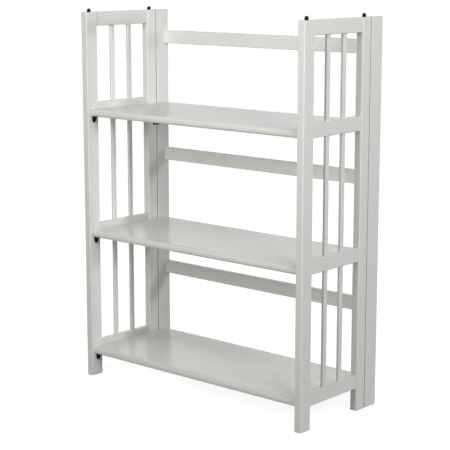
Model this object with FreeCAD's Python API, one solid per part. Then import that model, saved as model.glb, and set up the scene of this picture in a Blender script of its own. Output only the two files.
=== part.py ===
# Folding bookcase.  Three shelves turn up on steel pins against a back frame, and two
# slatted side frames hang on butt hinges in front of the back frame's posts.
# Millimetres, +Z up.  The front faces -Y and the origin is on the floor, at the middle
# of the footprint.

import FreeCAD, Part
import os

V = FreeCAD.Vector

# Overall
overall_width = 700.0
overall_depth = 292.0
post_height = 928.0

# Posts: every post stands on the floor and is as thick as the others, across X
post_thickness = 19.0
front_post_depth = 36.0
rear_post_depth = 32.0
back_post_depth = 44.0
post_round = 2.5
fold_gap = 1.6              # between a side frame and the back post behind it

# Side frame rails and slats
lowest_rail_underside = 55.0
top_bay_height = 258.0      # underside of the top shelf to the top of the posts
rail_height = 34.0
rail_thickness = 15.0
rail_easing = 1.2
slats_per_bay = 2
slat_width = 13.5
slat_thickness = 7.0
slat_easing = 1.2
slat_stub = 8.0             # the end of a slat that sits in a rail

# Back frame rails
back_rail_height = 33.0
back_rail_thickness = 15.0
back_rail_rise = 171.0      # underside of a back rail above the underside of its shelf

# Mortise and tenon joints
tenon_thickness = 8.0
tenon_shoulder = 5.0        # above and below a tenon
tenon_length = 10.0
back_tenon_length = 12.0
glue_gap = 0.1
glue_room = 0.5             # left empty at the bottom of a mortise

# Shelves
shelf_thickness = 18.0
shelf_setback = 9.0         # front edge behind the front face of the posts
shelf_rear_gap = 2.0        # rear edge in front of the back rails
shelf_end_clearance = 1.0
nose_radius = 8.0
tail_radius = 4.0

# Shelf pivots
pivot_from_rear = 17.0
pivot_radius = 3.0
pivot_clearance = 0.05
pivot_in_shelf = 14.0
pivot_in_post = 11.0
pivot_bore_depth = 12.0

# Shelf rests on the front posts
rest_width = 9.0
rest_height = 14.5
rest_reach = 9.0            # out from the post, at the top
rest_tip_reach = 5.0        # out from the post, at the bottom
rest_tip_radius = 3.0
rest_tab_width = 5.0
rest_tab_height = 6.0
rest_tab_length = 8.0
rest_tab_drop = 3.0         # top of the tab below the top of the rest
rest_fit = 0.05

# Stacking pins on top of the side frames, and the bores for them in the feet
stack_pin_radius = 4.6
stack_pin_straight = 5.0    # above the post, below the tapered tip
stack_pin_taper = 4.0
stack_pin_tip_radius = 2.4
stack_shank_radius = 3.5
stack_shank_length = 20.0
stack_fit = 0.05
stack_bore_radius = 4.9
stack_bore_depth = 13.0

# Butt hinges, under the bottom and top shelves on each side
hinge_height = 28.0
hinge_below_shelf = 12.5
leaf_width = 16.0           # from the pin's axis
leaf_thickness = 1.4
knuckle_radius = 2.6
knuckle_count = 3
knuckle_gap = 0.2
hinge_axis_inset = 2.2      # the pin's axis, in from the posts' inner faces
hinge_pin_radius = 1.25
hinge_pin_clearance = 0.05

# Places worked out from the sizes above.  The right-hand side is modelled, at +X.
front_y = -overall_depth / 2
rear_y = overall_depth / 2
outer_x = overall_width / 2
inner_x = outer_x - post_thickness
post_middle_x = outer_x - post_thickness / 2
back_post_front_y = rear_y - back_post_depth
side_frame_rear_y = back_post_front_y - fold_gap
front_post_back_y = front_y + front_post_depth
rear_post_front_y = side_frame_rear_y - rear_post_depth
front_post_middle_y = front_y + front_post_depth / 2
rear_post_middle_y = side_frame_rear_y - rear_post_depth / 2
back_rail_front_y = rear_y - back_rail_thickness
back_rail_middle_y = rear_y - back_rail_thickness / 2
shelf_front_y = front_y + shelf_setback
shelf_rear_y = back_rail_front_y - shelf_rear_gap
pivot_y = shelf_rear_y - pivot_from_rear
shelf_end_x = inner_x - shelf_end_clearance
hinge_axis_x = inner_x - hinge_axis_inset
hinge_axis_y = side_frame_rear_y + fold_gap / 2

shelf_names = ["bottom", "middle", "top"]
shelf_pitch = (post_height - lowest_rail_underside - top_bay_height) / (len(shelf_names) - 1)
shelf_undersides = [lowest_rail_underside + level * shelf_pitch for level in range(len(shelf_names))]
rail_names = ["lower", "middle", "upper", "top"]
rail_undersides = shelf_undersides + [post_height - rail_height]
bay_names = ["lower", "middle", "upper"]
hinge_shelves = {"lower": shelf_undersides[0], "upper": shelf_undersides[-1]}


def block(x0, x1, y0, y1, z0, z1):
    """A box between two corners."""
    return Part.makeBox(x1 - x0, y1 - y0, z1 - z0, V(x0, y0, z0))


def lengthwise_edges(solid, direction):
    """The straight edges of a solid that run along a direction."""
    found = []
    for edge in solid.Edges:
        run = edge.Vertexes[-1].Point - edge.Vertexes[0].Point
        if run.Length > 0 and abs(run.normalize().dot(direction)) > 0.999:
            found.append(edge)
    return found


def eased(solid, direction, easing):
    """A length of wood with the corners planed off its four long edges."""
    return solid.makeChamfer(easing, lengthwise_edges(solid, direction))


def rod(radius, length, base, direction):
    """A round bar from its base along a direction."""
    return Part.makeCylinder(radius, length, base, direction)


def place(solid, side):
    """The right-hand solid, or its mirror image on the left."""
    if side == "left":
        return solid.mirror(V(0, 0, 0), V(1, 0, 0))
    return solid


def export(name, solids):
    """One STEP file for a node: one solid, or a group of like ones."""
    shape = solids[0] if len(solids) == 1 else Part.makeCompound(solids)
    shape.exportStep("parts/%s.step" % name)


# Posts ---------------------------------------------------------------------------

def plain_post(y0, y1):
    """A post from floor to top, with its four long corners rounded."""
    post = block(inner_x, outer_x, y0, y1, 0, post_height)
    return post.makeFillet(post_round, lengthwise_edges(post, V(0, 0, 1)))


def rail_mortise(underside, face_y, into):
    """The slot in a post for a side rail's tenon.  into is +1 towards the rear."""
    half = tenon_thickness / 2 + glue_gap
    end_y = face_y + into * (tenon_length + glue_room)
    low = underside + tenon_shoulder - glue_gap
    high = underside + rail_height - tenon_shoulder + glue_gap
    return block(post_middle_x - half, post_middle_x + half,
                 min(face_y, end_y), max(face_y, end_y), low, high)


def stacking_holes(middle_y):
    """The hole for a stacking pin's shank and the bore in the foot under it."""
    top = rod(stack_shank_radius + stack_fit, stack_shank_length + glue_room,
              V(post_middle_x, middle_y, post_height), V(0, 0, -1))
    foot = rod(stack_bore_radius, stack_bore_depth, V(post_middle_x, middle_y, 0), V(0, 0, 1))
    return [top, foot]


def rest_tab(shelf_underside, fit):
    """The tab that holds a shelf rest in its post, or its slot with some fit."""
    half = rest_tab_width / 2 + fit
    high = shelf_underside - rest_tab_drop + fit
    return block(inner_x, inner_x + rest_tab_length + fit, front_post_middle_y - half,
                 front_post_middle_y + half, high - rest_tab_height - 2 * fit, high)


def front_post():
    cuts = [rail_mortise(z, front_post_back_y, -1) for z in rail_undersides]
    cuts += stacking_holes(front_post_middle_y)
    cuts += [rest_tab(z, rest_fit) for z in shelf_undersides]
    return plain_post(front_y, front_post_back_y).cut(cuts)


def rear_post():
    cuts = [rail_mortise(z, rear_post_front_y, 1) for z in rail_undersides]
    cuts += stacking_holes(rear_post_middle_y)
    return plain_post(rear_post_front_y, side_frame_rear_y).cut(cuts)


def back_post():
    """A post of the back frame, with slots for the rails and bores for the shelf pins."""
    half = tenon_thickness / 2 + glue_gap
    cuts = []
    for z in shelf_undersides:
        rail_z = z + back_rail_rise
        cuts.append(block(inner_x, inner_x + back_tenon_length + glue_room,
                          back_rail_middle_y - half, back_rail_middle_y + half,
                          rail_z + tenon_shoulder - glue_gap,
                          rail_z + back_rail_height - tenon_shoulder + glue_gap))
        cuts.append(rod(pivot_radius + pivot_clearance, pivot_bore_depth,
                        V(inner_x, pivot_y, z + shelf_thickness / 2), V(1, 0, 0)))
    return plain_post(back_post_front_y, rear_y).cut(cuts)


# Rails and slats -----------------------------------------------------------------

def slat_middles():
    """Y of each slat, evenly spaced between the two posts of a side frame."""
    span = rear_post_front_y - front_post_back_y
    return [front_post_back_y + span * (slot + 1) / (slats_per_bay + 1)
            for slot in range(slats_per_bay)]


def slat_mortises(z0, z1):
    """Slots for the slats' ends, between two heights."""
    half_x = slat_thickness / 2 + glue_gap
    half_y = slat_width / 2 + glue_gap
    return [block(post_middle_x - half_x, post_middle_x + half_x, y - half_y, y + half_y, z0, z1)
            for y in slat_middles()]


def side_rail(level):
    """A rail of a side frame, with a tenon at each end and slots for the slats."""
    z = rail_undersides[level]
    half_x = rail_thickness / 2
    half_tenon = tenon_thickness / 2
    rail = eased(block(post_middle_x - half_x, post_middle_x + half_x, front_post_back_y,
                       rear_post_front_y, z, z + rail_height), V(0, 1, 0), rail_easing)
    tenon = block(post_middle_x - half_tenon, post_middle_x + half_tenon,
                  front_post_back_y - tenon_length, rear_post_front_y + tenon_length,
                  z + tenon_shoulder, z + rail_height - tenon_shoulder)
    rail = rail.fuse(tenon).removeSplitter()
    cuts = []
    if level > 0:
        cuts += slat_mortises(z, z + slat_stub + glue_room)
    if level < len(rail_undersides) - 1:
        top = z + rail_height
        cuts += slat_mortises(top - slat_stub - glue_room, top)
    return rail.cut(cuts)


def slat(bay, y):
    """An upright slat between two rails."""
    z0 = rail_undersides[bay] + rail_height - slat_stub
    z1 = rail_undersides[bay + 1] + slat_stub
    upright = block(post_middle_x - slat_thickness / 2, post_middle_x + slat_thickness / 2,
                    y - slat_width / 2, y + slat_width / 2, z0, z1)
    return eased(upright, V(0, 0, 1), slat_easing)


def back_rail(shelf_underside):
    """A rail across the back frame, flush with the back of its posts."""
    z = shelf_underside + back_rail_rise
    rail = eased(block(-inner_x, inner_x, back_rail_front_y, rear_y, z, z + back_rail_height),
                 V(1, 0, 0), rail_easing)
    reach = inner_x + back_tenon_length
    tenon = block(-reach, reach, back_rail_middle_y - tenon_thickness / 2,
                  back_rail_middle_y + tenon_thickness / 2,
                  z + tenon_shoulder, z + back_rail_height - tenon_shoulder)
    return rail.fuse(tenon).removeSplitter()


# Shelves and their pivots --------------------------------------------------------

def shelf(underside):
    """A board with a round nose, an eased tail and a bore in each end for a pivot pin."""
    board = block(-shelf_end_x, shelf_end_x, shelf_front_y, shelf_rear_y,
                  underside, underside + shelf_thickness)
    long_edges = lengthwise_edges(board, V(1, 0, 0))
    board = board.makeFillet(nose_radius, [e for e in long_edges if e.CenterOfMass.y < 0])
    tail = [e for e in lengthwise_edges(board, V(1, 0, 0))
            if abs(e.CenterOfMass.y - shelf_rear_y) < 1e-6]
    board = board.makeFillet(tail_radius, tail)
    bores = [rod(pivot_radius, pivot_in_shelf,
                 V(side * shelf_end_x, pivot_y, underside + shelf_thickness / 2), V(-side, 0, 0))
             for side in (-1, 1)]
    return board.cut(bores)


def pivot_pin(underside):
    """A steel pin pressed into the end of a shelf, which turns in the back post."""
    length = pivot_in_shelf + shelf_end_clearance + pivot_in_post
    return rod(pivot_radius, length,
               V(shelf_end_x - pivot_in_shelf, pivot_y, underside + shelf_thickness / 2), V(1, 0, 0))


# Fittings ------------------------------------------------------------------------

def shelf_rest(underside):
    """A moulded rest under a shelf's front corner: it narrows to a round tip at the bottom."""
    half = rest_width / 2
    tip_z = underside - rest_height + rest_tip_radius
    out = inner_x - rest_reach

    def at(y, z):
        return V(out, front_post_middle_y + y, z)

    round_tip = Part.Arc(at(rest_tip_radius, tip_z), at(0, tip_z - rest_tip_radius),
                         at(-rest_tip_radius, tip_z))
    outline = Part.Wire([Part.makeLine(at(-half, underside), at(half, underside)),
                         Part.makeLine(at(half, underside), at(rest_tip_radius, tip_z)),
                         round_tip.toShape(),
                         Part.makeLine(at(-rest_tip_radius, tip_z), at(-half, underside))])
    tongue = Part.Face(outline).extrude(V(rest_reach, 0, 0))
    slope = Part.makePolygon([at(-half, underside), at(-half, underside - rest_height),
                              at(-half, underside - rest_height) + V(rest_reach - rest_tip_reach, 0, 0),
                              at(-half, underside)])
    tongue = tongue.cut(Part.Face(slope).extrude(V(0, rest_width, 0)))
    return tongue.fuse(rest_tab(underside, 0)).removeSplitter()


def stacking_pin(middle_y):
    """A turned pin that stands on a post, its shank driven into the end grain.  It enters the
    foot of a bookcase stacked above."""
    shoulder = post_height + stack_pin_straight
    tip = shoulder + stack_pin_taper
    profile = [(0, post_height - stack_shank_length),
               (stack_shank_radius, post_height - stack_shank_length),
               (stack_shank_radius, post_height),
               (stack_pin_radius, post_height),
               (stack_pin_radius, shoulder),
               (stack_pin_tip_radius, tip),
               (0, tip)]
    points = [V(post_middle_x + radius, middle_y, z) for radius, z in profile]
    half_section = Part.Face(Part.makePolygon(points + points[:1]))
    return half_section.revolve(V(post_middle_x, middle_y, 0), V(0, 0, 1), 360)


def hinge_bottom(shelf_underside):
    return shelf_underside - hinge_below_shelf - hinge_height


def hinge_leaf(shelf_underside, towards):
    """Half a butt hinge, a plate with its own knuckles.  towards is -1 on the side frame and
    +1 on the back post, whose leaf also holds the pin."""
    bottom = hinge_bottom(shelf_underside)
    knuckle_length = hinge_height / knuckle_count
    up = V(0, 0, 1)

    def axis_point(z):
        return V(hinge_axis_x, hinge_axis_y, z)

    def plate(reach, z0, z1):
        y = hinge_axis_y + towards * reach
        return block(inner_x - leaf_thickness, inner_x, min(hinge_axis_y, y), max(hinge_axis_y, y),
                     z0, z1)

    own, cuts = [], []
    for slot in range(knuckle_count):
        z = bottom + slot * knuckle_length
        if (slot % 2 == 0) == (towards > 0):
            own.append(rod(knuckle_radius, knuckle_length, axis_point(z), up))
        else:
            cuts.append(plate(knuckle_radius + knuckle_gap, z - knuckle_gap,
                              z + knuckle_length + knuckle_gap))
    if towards > 0:
        own.append(rod(hinge_pin_radius, hinge_height, axis_point(bottom), up))
    else:
        cuts.append(rod(hinge_pin_radius + hinge_pin_clearance, hinge_height,
                        axis_point(bottom), up))
    leaf = plate(leaf_width, bottom, bottom + hinge_height)
    if towards > 0:
        return leaf.cut(cuts).fuse(own).removeSplitter()
    return leaf.fuse(own).removeSplitter().cut(cuts)


# Assembly ------------------------------------------------------------------------

def make_side(side):
    """Every piece that exists once on the left and once on the right."""
    export("back_post_" + side, [place(back_post(), side)])
    export(side + "_front_post", [place(front_post(), side)])
    export(side + "_rear_post", [place(rear_post(), side)])
    for level, name in enumerate(rail_names):
        export("%s_%s_rail" % (side, name), [place(side_rail(level), side)])
    for bay, name in enumerate(bay_names):
        for y, position in zip(slat_middles(), ("front", "rear")):
            export("%s_%s_bay_%s_slat" % (side, name, position), [place(slat(bay, y), side)])
    export(side + "_stacking_pins",
           [place(stacking_pin(y), side) for y in (front_post_middle_y, rear_post_middle_y)])
    export(side + "_shelf_rests", [place(shelf_rest(z), side) for z in shelf_undersides])
    for name, z in hinge_shelves.items():
        export("%s_%s_hinge_side_leaf" % (side, name), [place(hinge_leaf(z, -1), side)])
        export("%s_%s_hinge_back_leaf" % (side, name), [place(hinge_leaf(z, 1), side)])


def make_shelves():
    """The three shelves, their pins and the back rails above them."""
    for name, z in zip(shelf_names, shelf_undersides):
        export(name + "_shelf", [shelf(z)])
        export(name + "_shelf_pivot_pins", [place(pivot_pin(z), side) for side in ("left", "right")])
        export("back_rail_" + name, [back_rail(z)])


os.makedirs("parts", exist_ok=True)
for side_name in ("left", "right"):
    make_side(side_name)
make_shelves()
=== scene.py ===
# Folding bookcase in semi-gloss off-white paint: slatted side frames, a back frame of two
# posts and three rails, three shelves that turn up, black fittings.  Metres, +Z up, front at -Y.

import math

import bmesh
import bpy
from mathutils import Matrix, Vector


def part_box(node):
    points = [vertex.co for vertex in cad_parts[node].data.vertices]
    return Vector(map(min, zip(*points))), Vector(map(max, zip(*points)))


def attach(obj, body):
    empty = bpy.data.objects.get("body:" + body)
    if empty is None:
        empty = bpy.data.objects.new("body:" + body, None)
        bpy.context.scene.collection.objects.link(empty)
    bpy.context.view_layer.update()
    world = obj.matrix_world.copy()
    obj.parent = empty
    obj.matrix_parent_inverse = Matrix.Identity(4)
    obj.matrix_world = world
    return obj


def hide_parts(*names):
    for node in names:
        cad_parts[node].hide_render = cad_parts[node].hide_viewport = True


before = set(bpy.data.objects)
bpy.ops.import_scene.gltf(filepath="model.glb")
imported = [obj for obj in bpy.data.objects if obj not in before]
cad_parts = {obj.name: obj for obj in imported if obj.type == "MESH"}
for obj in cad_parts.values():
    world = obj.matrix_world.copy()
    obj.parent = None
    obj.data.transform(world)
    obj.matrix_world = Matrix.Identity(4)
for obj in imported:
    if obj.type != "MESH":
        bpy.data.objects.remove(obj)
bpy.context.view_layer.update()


# Viewing point -------------------------------------------------------------------------
# A long lens a little above the bookcase, turned to its right-hand front corner, so that
# the front, the right-hand side frame and the shelf tops all show.

lens_length = 111.42
eye = (2.2056, -2.5229, 1.0597)
looks_down = math.radians(10.863)
looks_left = math.radians(41.227)
camera_data = bpy.data.cameras.new("camera")
camera_data.lens = lens_length
camera_data.sensor_width = 36.0
camera = bpy.data.objects.new("camera", camera_data)
camera.location = eye
camera.rotation_euler = (math.pi / 2 - looks_down, 0, looks_left)
bpy.context.scene.collection.objects.link(camera)
bpy.context.scene.camera = camera


# Posts ---------------------------------------------------------------------------------
# Six solid wood posts on the floor: a front and a rear one in each side frame, and one of
# the back frame behind each side frame, across the gap at which the frames fold.  Sanded,
# their long corners rounded, sprayed off-white.

sides = ("left", "right")
across_grain, along_grain = 320, 8
peel_per_metre = 420.0


def new_group(name, inputs, outputs):
    """A shader node group with named sockets; gives its tree, its input and its output node."""
    tree = bpy.data.node_groups.new(name, "ShaderNodeTree")
    kinds = {"value": "NodeSocketFloat", "vector": "NodeSocketVector", "colour": "NodeSocketColor"}
    for label, kind, value in inputs:
        socket = tree.interface.new_socket(name=label, in_out="INPUT", socket_type=kinds[kind])
        socket.default_value = value
    for label, kind in outputs:
        tree.interface.new_socket(name=label, in_out="OUTPUT", socket_type=kinds[kind])
    return tree, tree.nodes.new("NodeGroupInput"), tree.nodes.new("NodeGroupOutput")


def add(tree, kind, settings=None, **values):
    """A node with some settings and some values for its inputs, which go by their names or by
    their numbers as i0, i1 and so on; a value that is a socket is linked."""
    node = tree.nodes.new("ShaderNode" + kind)
    for label, value in (settings or {}).items():
        setattr(node, label, value)
    for label, value in values.items():
        label = label.replace("_", " ")
        socket = node.inputs[int(label[1:])] if label[1:].isdigit() else node.inputs[label]
        if isinstance(value, bpy.types.NodeSocket):
            tree.links.new(value, socket)
        else:
            socket.default_value = value
    return node


def new_material(name):
    """A material with an empty node tree but for its output; gives the material and tree."""
    material = bpy.data.materials.new(name)
    material.use_nodes = True
    tree = material.node_tree
    tree.nodes.clear()
    return material, tree, tree.nodes.new("ShaderNodeOutputMaterial")


def edge_group():
    """Eased edges: a normal that rolls over each corner, and a mask that is 1 along it."""
    tree, given, out = new_group("eased_edges", [("Radius", "value", 0.001)],
                                 [("Normal", "vector"), ("Edge", "value")])
    bevel = add(tree, "Bevel", Radius=given.outputs["Radius"])
    true_normal = add(tree, "NewGeometry")
    likeness = add(tree, "VectorMath", {"operation": "DOT_PRODUCT"},
                   i0=bevel.outputs["Normal"], i1=true_normal.outputs["Normal"])
    edge = add(tree, "MapRange", Value=likeness.outputs["Value"],
               From_Min=0.995, From_Max=0.75, To_Min=0.0, To_Max=1.0)
    tree.links.new(bevel.outputs["Normal"], out.inputs["Normal"])
    tree.links.new(edge.outputs["Result"], out.inputs["Edge"])
    return tree


def timber_group():
    """Wood under paint: long fibres that show faintly through the film, coarser end grain on
    the faces across the fibres, and a slow drift of tone from one stick to the next."""
    tree, given, out = new_group("timber_under_paint",
                                 [("Grain Per Metre", "vector",
                                   (across_grain, across_grain, along_grain)),
                                  ("Fibre Axis", "vector", (0, 0, 1))],
                                 [("Height", "value"), ("Tone", "value")])
    place = add(tree, "TexCoord")
    stick = add(tree, "ObjectInfo")
    shift = add(tree, "VectorMath", {"operation": "SCALE"}, i0=(3.1, 7.3, 5.7),
                Scale=stick.outputs["Random"])
    moved = add(tree, "VectorMath", {"operation": "ADD"}, i0=place.outputs["Object"],
                i1=shift.outputs["Vector"])
    drawn = add(tree, "VectorMath", {"operation": "MULTIPLY"}, i0=moved.outputs["Vector"],
                i1=given.outputs["Grain Per Metre"])
    fibres = add(tree, "TexNoise", Vector=drawn.outputs["Vector"],
                 Scale=1.0, Detail=5.0, Roughness=0.62, Distortion=0.4)
    end_grain = add(tree, "TexVoronoi", Vector=moved.outputs["Vector"], Scale=900.0)
    facing = add(tree, "NewGeometry")
    across = add(tree, "VectorMath", {"operation": "DOT_PRODUCT"},
                 i0=facing.outputs["True Normal"], i1=given.outputs["Fibre Axis"])
    either_way = add(tree, "Math", {"operation": "ABSOLUTE"}, i0=across.outputs["Value"])
    is_end = add(tree, "Math", {"operation": "GREATER_THAN"}, i0=either_way.outputs["Value"],
                 i1=0.9)
    height = add(tree, "Mix", i0=is_end.outputs["Value"], i2=fibres.outputs["Fac"],
                 i3=end_grain.outputs["Distance"])
    drift = add(tree, "TexNoise", Vector=moved.outputs["Vector"],
                Scale=2.6, Detail=2.0, Roughness=0.5)
    tree.links.new(height.outputs["Result"], out.inputs["Height"])
    tree.links.new(drift.outputs["Fac"], out.inputs["Tone"])
    return tree


def spray_group():
    """The skin of a sprayed film: fine orange peel, and a gloss that drifts a little."""
    tree, given, out = new_group("sprayed_film", [("Peel Per Metre", "value", peel_per_metre)],
                                 [("Height", "value"), ("Gloss Drift", "value")])
    place = add(tree, "TexCoord")
    peel = add(tree, "TexNoise", Vector=place.outputs["Object"],
               Scale=given.outputs["Peel Per Metre"], Detail=2.0, Roughness=0.45)
    cloud = add(tree, "TexNoise", Vector=place.outputs["Object"],
                Scale=9.0, Detail=3.0, Roughness=0.55)
    tree.links.new(peel.outputs["Fac"], out.inputs["Height"])
    tree.links.new(cloud.outputs["Fac"], out.inputs["Gloss Drift"])
    return tree


def joint_shade_group():
    """Painted shade at a joint between two pieces: 1 within some reach of a plane across Y."""
    tree, given, out = new_group("joint_shade_band",
                                 [("Plane", "value", 0.0), ("Reach", "value", 0.001)],
                                 [("Line", "value")])
    place = add(tree, "SeparateXYZ", Vector=add(tree, "TexCoord").outputs["Object"])
    line = add(tree, "Math", {"operation": "COMPARE"}, i0=place.outputs["Y"],
               i1=given.outputs["Plane"], i2=given.outputs["Reach"])
    tree.links.new(line.outputs["Value"], out.inputs["Line"])
    return tree


eased_edges = edge_group()
timber_under_paint = timber_group()
sprayed_film = spray_group()
joint_shade_band = joint_shade_group()


def place_group(tree, group, **values):
    """A node group in a material, with its own values."""
    node = tree.nodes.new("ShaderNodeGroup")
    node.node_tree = group
    for label, value in values.items():
        node.inputs[label.replace("_", " ")].default_value = value
    return node


def mixed(tree, share, first, second):
    """Two colours mixed: the first where the share is 0, the second where it is 1."""
    mix = add(tree, "Mix", {"data_type": "RGBA"}, i0=share, i6=first, i7=second)
    return mix.outputs[2]


def gloss_between(tree, drift, smoothest, roughest):
    """A roughness that follows the drift of a finish from its smoothest to its roughest."""
    roughness = add(tree, "MapRange", Value=drift, From_Min=0.3, From_Max=0.7,
                    To_Min=smoothest, To_Max=roughest)
    return roughness.outputs["Result"]


off_white_low = (0.745, 0.748, 0.712, 1)
off_white_high = (0.772, 0.778, 0.748, 1)
thin_on_corners = (0.66, 0.64, 0.58, 1)
# Dark colour of the painted shade at the joints.
painted_joint_shade = (0.20, 0.19, 0.17, 1)
corner_easing = 0.0008


def painted_wood(name, grain, fibre_axis, joints=()):
    """Semi-gloss off-white paint over wood whose fibres run along one axis.  At each joint,
    a plane across Y and a reach, a band of painted shade deepens the real shadow in the gap."""
    material, tree, out = new_material(name)
    edges = place_group(tree, eased_edges, Radius=corner_easing)
    timber = place_group(tree, timber_under_paint, Grain_Per_Metre=grain, Fibre_Axis=fibre_axis)
    film = place_group(tree, sprayed_film, Peel_Per_Metre=peel_per_metre)
    tone = mixed(tree, timber.outputs["Tone"], off_white_low, off_white_high)
    thin = add(tree, "Math", {"operation": "MULTIPLY"}, i0=edges.outputs["Edge"], i1=0.15)
    colour = mixed(tree, thin.outputs["Value"], tone, thin_on_corners)
    # Painted shade: each joint's band is darkened with the dark joint colour.
    for plane, reach in joints:
        line = place_group(tree, joint_shade_band, Plane=plane, Reach=reach)
        colour = mixed(tree, line.outputs["Line"], colour, painted_joint_shade)
    under = add(tree, "Bump", Strength=0.07, Distance=0.0004, Height=timber.outputs["Height"],
                Normal=edges.outputs["Normal"])
    skin = add(tree, "Bump", Strength=0.07, Distance=0.0002, Height=film.outputs["Height"],
               Normal=under.outputs["Normal"])
    paint = add(tree, "BsdfPrincipled", Base_Color=colour,
                Roughness=gloss_between(tree, film.outputs["Gloss Drift"], 0.19, 0.25),
                Normal=skin.outputs["Normal"], Specular_IOR_Level=0.45)
    tree.links.new(paint.outputs["BSDF"], out.inputs["Surface"])
    return material


def finish_with(material, *names):
    """Gives the CAD nodes of these names their finish."""
    for name in names:
        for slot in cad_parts[name].material_slots:
            slot.material = material


# Painted shade over the fold gap: a dark band on the posts, a little wider than the real gap.
shade_past_gap = 0.0002
rear_post_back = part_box("left_rear_post")[1].y
back_post_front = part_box("back_post_left")[0].y
fold_joint = ((rear_post_back + back_post_front) / 2,
              (back_post_front - rear_post_back) / 2 + shade_past_gap)
painted_upright = painted_wood("painted_upright", (across_grain, across_grain, along_grain),
                               (0, 0, 1), [fold_joint])
for side in sides:
    finish_with(painted_upright, side + "_front_post", side + "_rear_post", "back_post_" + side)


# Side frames: rails and slats -----------------------------------------------------------
# Four rails join the posts of each side frame with mortise and tenon joints.  Two thin
# upright slats stand in slots in the rails, in each of the three bays.

bays = ("lower", "middle", "upper")
# Painted shade at the tenon shoulders: a thin dark band on the rails where they meet the posts.
shoulder_shade_reach = 0.0006
shoulders = [(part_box("left_front_post")[1].y, shoulder_shade_reach),
             (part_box("left_rear_post")[0].y, shoulder_shade_reach)]
painted_side_rail = painted_wood("painted_side_rail", (across_grain, along_grain, across_grain),
                                 (0, 1, 0), shoulders)
for side in sides:
    for level in bays + ("top",):
        finish_with(painted_side_rail, "%s_%s_rail" % (side, level))
    for bay in bays:
        for slat in ("front", "rear"):
            finish_with(painted_upright, "%s_%s_bay_%s_slat" % (side, bay, slat))


# Back rails and shelves -----------------------------------------------------------------
# Three rails tie the back posts together.  Each shelf is a solid wood board with a rounded
# nose, sprayed like the frames, and turns up on a pin in each end near its rear edge.

painted_cross = painted_wood("painted_cross", (along_grain, across_grain, across_grain),
                             (1, 0, 0))
shelf_names = ("bottom", "middle", "top")
for level in shelf_names:
    finish_with(painted_cross, "back_rail_" + level)
    finish_with(painted_cross, level + "_shelf")


# Shelf pivot pins -----------------------------------------------------------------------
# Drawn steel rod, 6 mm thick, pressed into each end of a shelf.  Only a glimpse of it
# shows in the gap between the shelf and the back post.

lines_across, lines_along = 2600, 60


def drawn_steel():
    """Bare steel with the fine lines that drawing leaves along its length, which lies on X."""
    material, tree, out = new_material("drawn_steel")
    place = add(tree, "TexCoord")
    drawn = add(tree, "VectorMath", {"operation": "MULTIPLY"}, i0=place.outputs["Object"],
                i1=(lines_along, lines_across, lines_across))
    lines = add(tree, "TexNoise", Vector=drawn.outputs["Vector"], Scale=1.0, Detail=3.0)
    colour = mixed(tree, lines.outputs["Fac"], (0.52, 0.52, 0.53, 1), (0.64, 0.64, 0.64, 1))
    bump = add(tree, "Bump", Strength=0.15, Distance=0.00005, Height=lines.outputs["Fac"])
    steel = add(tree, "BsdfPrincipled", Base_Color=colour, Metallic=1.0,
                Roughness=gloss_between(tree, lines.outputs["Fac"], 0.22, 0.38),
                Normal=bump.outputs["Normal"])
    tree.links.new(steel.outputs["BSDF"], out.inputs["Surface"])
    return material


bright_steel = drawn_steel()
for level in shelf_names:
    finish_with(bright_steel, level + "_shelf_pivot_pins")


# Stacking pins --------------------------------------------------------------------------
# A black moulded pin with a domed tip stands on each post of a side frame and enters the
# foot of a bookcase stacked on top.  The dome is turned here, over the plainer CAD pin.

pin_radius = 0.0046
dome_height = 0.0046
pin_foot_easing = 0.0003


def moulded_plastic():
    """Black moulded plastic: a fine even spark texture, a little greyer where it rubs."""
    material, tree, out = new_material("black_plastic")
    edges = place_group(tree, eased_edges, Radius=0.0005)
    film = place_group(tree, sprayed_film, Peel_Per_Metre=2400.0)
    rubbed = add(tree, "Math", {"operation": "MULTIPLY"}, i0=edges.outputs["Edge"],
                 i1=film.outputs["Gloss Drift"])
    colour = mixed(tree, rubbed.outputs["Value"], (0.002, 0.002, 0.002, 1),
                   (0.010, 0.010, 0.009, 1))
    bump = add(tree, "Bump", Strength=0.25, Distance=0.00008, Height=film.outputs["Height"],
               Normal=edges.outputs["Normal"])
    plastic = add(tree, "BsdfPrincipled", Base_Color=colour,
                  Roughness=gloss_between(tree, film.outputs["Gloss Drift"], 0.36, 0.50),
                  Normal=bump.outputs["Normal"], Specular_IOR_Level=0.06)
    tree.links.new(plastic.outputs["BSDF"], out.inputs["Surface"])
    return material


def turned(mesh, profile, base, axis=Vector((0, 0, 1)), steps=40):
    """Adds a turned form to a bmesh: (radius, height) pairs swept round an axis at a base."""
    turn = axis.to_track_quat("Z", "Y").to_matrix()
    angles = [2 * math.pi * step / steps for step in range(steps)]
    rings = []
    for radius, height in profile:
        spots = [Vector((radius * math.cos(angle), radius * math.sin(angle), height))
                 for angle in (angles if radius else [0])]
        rings.append([mesh.verts.new(base + turn @ spot) for spot in spots])
    for low, high in zip(rings, rings[1:]):
        for step in range(steps):
            after = (step + 1) % steps
            corners = [low[step % len(low)], low[after % len(low)],
                       high[after % len(high)], high[step % len(high)]]
            mesh.faces.new(list(dict.fromkeys(corners)))


smooth_up_to = math.radians(35)


def new_piece(name, mesh, material, body):
    """An object made from a bmesh, smooth but for its sharp edges, riding on a body."""
    data = bpy.data.meshes.new(name)
    mesh.normal_update()
    for edge in mesh.edges:
        edge.smooth = edge.calc_face_angle(0) < smooth_up_to
    for face in mesh.faces:
        face.smooth = True
    mesh.to_mesh(data)
    mesh.free()
    data.materials.append(material)
    piece = bpy.data.objects.new(name, data)
    bpy.context.scene.collection.objects.link(piece)
    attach(piece, body)
    return piece


def dome(radius, rise, start, count=8):
    """The (radius, height) pairs of a dome, from its rim up to its top."""
    angles = [math.pi / 2 * step / count for step in range(count)]
    return [(radius * math.cos(angle), start + rise * math.sin(angle))
            for angle in angles] + [(0, start + rise)]


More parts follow.
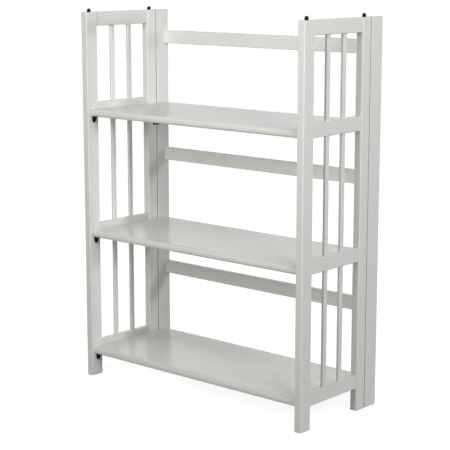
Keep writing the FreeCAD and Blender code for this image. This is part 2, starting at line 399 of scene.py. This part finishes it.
black_plastic = moulded_plastic()
for side in sides:
    heads = bmesh.new()
    tip_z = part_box(side + "_stacking_pins")[1].z
    for post in ("front", "rear"):
        low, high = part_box("%s_%s_post" % (side, post))
        post_top = Vector(((low.x + high.x) / 2, (low.y + high.y) / 2, high.z))
        straight = tip_z - high.z - dome_height
        turned(heads, [(0, 0), (pin_radius - pin_foot_easing, 0), (pin_radius, pin_foot_easing)]
               + dome(pin_radius, dome_height, straight), post_top)
    pins = new_piece(side + "_domed_pins", heads, black_plastic, "frame")
    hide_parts(side + "_stacking_pins")


# Shelf rests ----------------------------------------------------------------------------
# Black moulded rests on the front posts' inner faces, one under each front corner of a
# shelf, each held by a tab in the post.

for side in sides:
    finish_with(black_plastic, side + "_shelf_rests")


# Butt hinges ----------------------------------------------------------------------------
# Two black coated steel butt hinges on each side, across the gap between the side frame
# and the back post.  Each leaf has two countersunk screws; the pin is peened at both ends.

leaf_thickness = 0.0014
screw_from_axis = 0.010
screw_spacing = 0.014
screw_head_radius = 0.0027
screw_head_rise = 0.0004
screw_head_sunk = 0.0010
recess_width = 0.00035
recess_reach = 0.0015
recess_depth = 0.0008
pin_end_radius = 0.0017
pin_end_rise = 0.0007
pin_end_sunk = 0.0002


def coated_steel():
    """Black electrocoat on steel, slightly uneven, a little worn at the very edges."""
    material, tree, out = new_material("black_steel")
    edges = place_group(tree, eased_edges, Radius=0.0003)
    film = place_group(tree, sprayed_film, Peel_Per_Metre=1500.0)
    worn = add(tree, "Math", {"operation": "MULTIPLY"}, i0=edges.outputs["Edge"],
               i1=film.outputs["Gloss Drift"])
    bare = add(tree, "MapRange", Value=worn.outputs["Value"],
               From_Min=0.40, From_Max=0.80, To_Min=0.0, To_Max=0.2)
    colour = mixed(tree, bare.outputs["Result"], (0.003, 0.003, 0.003, 1),
                   (0.12, 0.115, 0.11, 1))
    bump = add(tree, "Bump", Strength=0.15, Distance=0.00006, Height=film.outputs["Height"],
               Normal=edges.outputs["Normal"])
    steel = add(tree, "BsdfPrincipled", Base_Color=colour, Metallic=bare.outputs["Result"],
                Roughness=gloss_between(tree, film.outputs["Gloss Drift"], 0.31, 0.44),
                Normal=bump.outputs["Normal"], Specular_IOR_Level=0.10)
    tree.links.new(steel.outputs["BSDF"], out.inputs["Surface"])
    return material


def crossed_blades(mesh, base, axis):
    """The two crossed blades that press the recess into a screw head at a base."""
    place = Matrix.Translation(base + axis * screw_head_rise)
    turn = axis.to_track_quat("Z", "Y").to_matrix().to_4x4()
    for reach, width in ((recess_reach, recess_width), (recess_width, recess_reach)):
        size = Matrix.Diagonal((2 * reach, 2 * width, 2 * recess_depth, 1))
        bmesh.ops.create_cube(mesh, size=1.0, matrix=place @ turn @ size)


def pressed(mesh, blades):
    """The mesh with the shape of the blades pressed out of it."""
    both = []
    for shape in (mesh, blades):
        data = bpy.data.meshes.new("pressing")
        shape.to_mesh(data)
        shape.free()
        both.append(bpy.data.objects.new("pressing", data))
        bpy.context.scene.collection.objects.link(both[-1])
    cut = both[0].modifiers.new("recess", "BOOLEAN")
    cut.object, cut.operation, cut.solver = both[1], "DIFFERENCE", "EXACT"
    cut.use_self = True
    depsgraph = bpy.context.evaluated_depsgraph_get()
    result = bmesh.new()
    result.from_mesh(both[0].evaluated_get(depsgraph).to_mesh())
    for made in both:
        bpy.data.objects.remove(made)
    return result


black_steel = coated_steel()
for side in sides:
    post_low, post_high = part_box(side + "_rear_post")
    inwards = 1 if side == "left" else -1
    wood_x = post_high.x if side == "left" else post_low.x
    face_x = wood_x + inwards * leaf_thickness
    for place in ("lower", "upper"):
        hinge = "%s_%s_hinge" % (side, place)
        finish_with(black_steel, hinge + "_side_leaf", hinge + "_back_leaf")
        side_low, side_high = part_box(hinge + "_side_leaf")
        back_low, back_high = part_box(hinge + "_back_leaf")
        axis_y = (side_low.y + back_high.y) / 2
        middle_z = (back_low.z + back_high.z) / 2
        knuckle_radius = side_high.y - axis_y
        barrel_x = back_high.x if side == "left" else back_low.x
        axis_x = barrel_x - inwards * knuckle_radius

        screws, blades = bmesh.new(), bmesh.new()
        for across in (-1, 1):
            for up in (-1, 1):
                spot = Vector((face_x, axis_y + across * screw_from_axis,
                               middle_z + up * screw_spacing / 2))
                turned(screws, [(0, -screw_head_sunk), (screw_head_radius, -screw_head_sunk)]
                       + dome(screw_head_radius, screw_head_rise, start=0, count=4),
                       spot, Vector((inwards, 0, 0)), steps=24)
                crossed_blades(blades, spot, Vector((inwards, 0, 0)))
        new_piece(hinge + "_screws", pressed(screws, blades), black_steel, "frame")

        pin_ends = bmesh.new()
        for z, way in ((back_low.z, -1), (back_high.z, 1)):
            turned(pin_ends, [(0, -pin_end_sunk), (pin_end_radius, -pin_end_sunk)]
                   + dome(pin_end_radius, pin_end_rise, start=0, count=5),
                   Vector((axis_x, axis_y, z)), Vector((0, 0, way)), steps=24)
        new_piece(hinge + "_pin_ends", pin_ends, black_steel, "frame")


# Studio ---------------------------------------------------------------------------------
# A pale floor without end and plain soft light: softboxes in front and at the right, and, not
# mirrored in any gloss, a small far one beyond the right rear corner and low fills behind and
# at the left.  The eye, and any gloss, sees white round the bookcase.

def seen_directly(tree):
    """1 for what the eye, a reflection or a clear piece sees, 0 for light on the object."""
    path = add(tree, "LightPath")
    shiny = add(tree, "Math", {"operation": "MAXIMUM"}, i0=path.outputs["Is Glossy Ray"],
                i1=path.outputs["Is Transmission Ray"])
    seen = add(tree, "Math", {"operation": "MAXIMUM"}, i0=path.outputs["Is Camera Ray"],
               i1=shiny.outputs["Value"])
    return seen.outputs["Value"]


world = bpy.data.worlds.new("studio")
world.use_nodes = True
bpy.context.scene.world = world
world_tree = world.node_tree
world_tree.nodes.clear()
surround = add(world_tree, "Background", Color=(0.98, 0.99, 1.0, 1), Strength=0.05)
white = add(world_tree, "Background", Color=(1, 1, 1, 1), Strength=1.0)
round_about = add(world_tree, "MixShader", i0=seen_directly(world_tree),
                  i1=surround.outputs["Background"], i2=white.outputs["Background"])
world_out = world_tree.nodes.new("ShaderNodeOutputWorld")
world_tree.links.new(round_about.outputs["Shader"], world_out.inputs["Surface"])

floor_reach = 40.0
shadow_reach = 0.6
white_from = 2.4
glow_by_bookcase = 0.84

floor_material, floor_tree, floor_out = new_material("pale_floor")
speckle = add(floor_tree, "TexNoise", Vector=add(floor_tree, "TexCoord").outputs["Object"],
              Scale=60.0, Detail=4.0)
floor_colour = mixed(floor_tree, speckle.outputs["Fac"], (0.36, 0.36, 0.36, 1),
                     (0.39, 0.39, 0.385, 1))
floor_paint = add(floor_tree, "BsdfDiffuse", Color=floor_colour)
from_middle = add(floor_tree, "VectorMath", {"operation": "LENGTH"},
                  i0=add(floor_tree, "TexCoord").outputs["Object"])
fill = add(floor_tree, "MapRange", Value=from_middle.outputs["Value"],
           From_Min=shadow_reach, From_Max=white_from, To_Min=glow_by_bookcase, To_Max=1.0)
glow_strength = add(floor_tree, "Math", {"operation": "MULTIPLY"},
                    i0=seen_directly(floor_tree), i1=fill.outputs["Result"])
glow = add(floor_tree, "Emission", Color=(1, 1, 1, 1), Strength=glow_strength.outputs["Value"])
floor_sum = add(floor_tree, "AddShader", i0=floor_paint.outputs["BSDF"],
                i1=glow.outputs["Emission"])
floor_tree.links.new(floor_sum.outputs["Shader"], floor_out.inputs["Surface"])

floor_data = bpy.data.meshes.new("floor")
floor_corners = [(-floor_reach, -floor_reach, 0), (floor_reach, -floor_reach, 0),
                 (floor_reach, floor_reach, 0), (-floor_reach, floor_reach, 0)]
floor_data.from_pydata(floor_corners, [], [(0, 1, 2, 3)])
floor_data.materials.append(floor_material)
floor = bpy.data.objects.new("floor", floor_data)
bpy.context.scene.collection.objects.link(floor)


grid_spread = math.radians(90)


def softbox(name, place, aim, width, height, power, colour, mirrored=True):
    """A softbox with a grid over it, aimed at a point, which gloss may mirror or not."""
    data = bpy.data.lights.new(name, "AREA")
    data.shape, data.size, data.size_y = "RECTANGLE", width, height
    data.spread, data.energy, data.color = grid_spread, power, colour
    light = bpy.data.objects.new(name, data)
    light.location = place
    light.rotation_euler = (Vector(aim) - Vector(place)).to_track_quat("-Z", "Y").to_euler()
    light.visible_camera = False
    light.visible_glossy = mirrored
    bpy.context.scene.collection.objects.link(light)


softbox("front_softbox", place=(0.35, -2.6, 1.55), aim=(0, 0, 1.15), width=0.6, height=1.2,
        power=12.2, colour=(1.0, 0.985, 0.96))
softbox("right_softbox", place=(2.5, -1.0, 2.15), aim=(0, 0, 1.1), width=1.4, height=1.2,
        power=13.8, colour=(0.985, 1.0, 0.985))
softbox("rear_softbox", place=(6.5, 0.9, 1.08), aim=(0, 0, 0.5), width=0.35, height=0.35,
        power=19, colour=(0.93, 1.0, 1.0), mirrored=False)
softbox("back_softbox", place=(-0.3, 3.4, 0.5), aim=(0, 0, 0.45), width=1.2, height=0.9,
        power=12, colour=(0.98, 1.0, 1.0), mirrored=False)
softbox("left_softbox", place=(-3.4, 0.6, 0.6), aim=(0, 0, 0.45), width=1.2, height=0.9,
        power=24, colour=(0.98, 1.0, 1.0), mirrored=False)

bpy.context.scene.view_settings.view_transform = "Standard"
